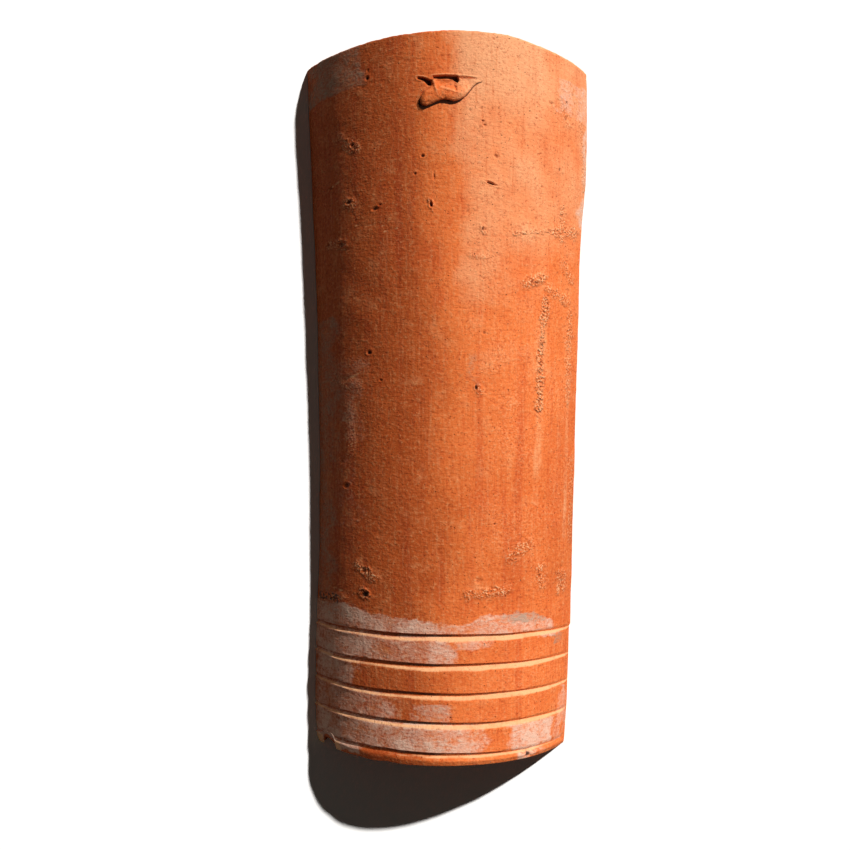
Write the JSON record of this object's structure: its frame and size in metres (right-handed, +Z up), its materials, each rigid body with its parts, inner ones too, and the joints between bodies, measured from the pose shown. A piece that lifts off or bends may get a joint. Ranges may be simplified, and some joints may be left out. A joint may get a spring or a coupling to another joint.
{
  "type": "clay roof tile",
  "caption": "Canal roof tile of fired clay: a long tapered arch with cross grooves at its narrow end and a pushed-up nib near its wide end.",
  "frame": {"origin": "on the floor, midway between the two ends and between the two long feet", "axes": "+Y along the tile towards its wide end, +Z up out of its round back, +X to the right seen from above with the wide end away"},
  "size_m": [0.2098, 0.5, 0.074],
  "materials": {
    "terracotta": "matte"
  },
  "bodies": {
    "root": {"canal_tile": "terracotta"}
  },
  "joints": []
}
